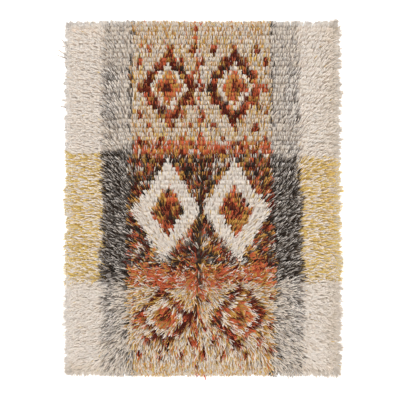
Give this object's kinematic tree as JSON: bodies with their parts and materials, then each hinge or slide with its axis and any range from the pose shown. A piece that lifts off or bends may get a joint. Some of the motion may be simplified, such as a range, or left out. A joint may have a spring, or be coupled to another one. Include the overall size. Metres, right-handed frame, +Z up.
{
  "type": "hand-knotted shag rug",
  "caption": "Flat rectangular floor rug of long wool pile knotted in rows into a woven ground, for lying pile side up on a floor.",
  "frame": {"origin": "middle of the underside, on the floor, under the centre of the rug's outline", "axes": "+X across the width, +Y along the length towards the picture's top end, +Z up out of the pile"},
  "size_m": [1.299, 1.6786, 0.0313],
  "materials": {
    "cream_wool": "loose two-ply wool pile, matt",
    "grey_wool": "loose two-ply wool pile, matt",
    "charcoal_wool": "loose two-ply wool pile, matt",
    "straw_wool": "loose two-ply wool pile, matt",
    "ochre_wool": "loose two-ply wool pile, matt",
    "rust_wool": "loose two-ply wool pile, matt",
    "dark_red_wool": "loose two-ply wool pile, matt",
    "ground_weave": "plain-woven linen and wool ground, matt"
  },
  "bodies": {
    "root": {"rug": "cream_wool"}
  },
  "joints": []
}
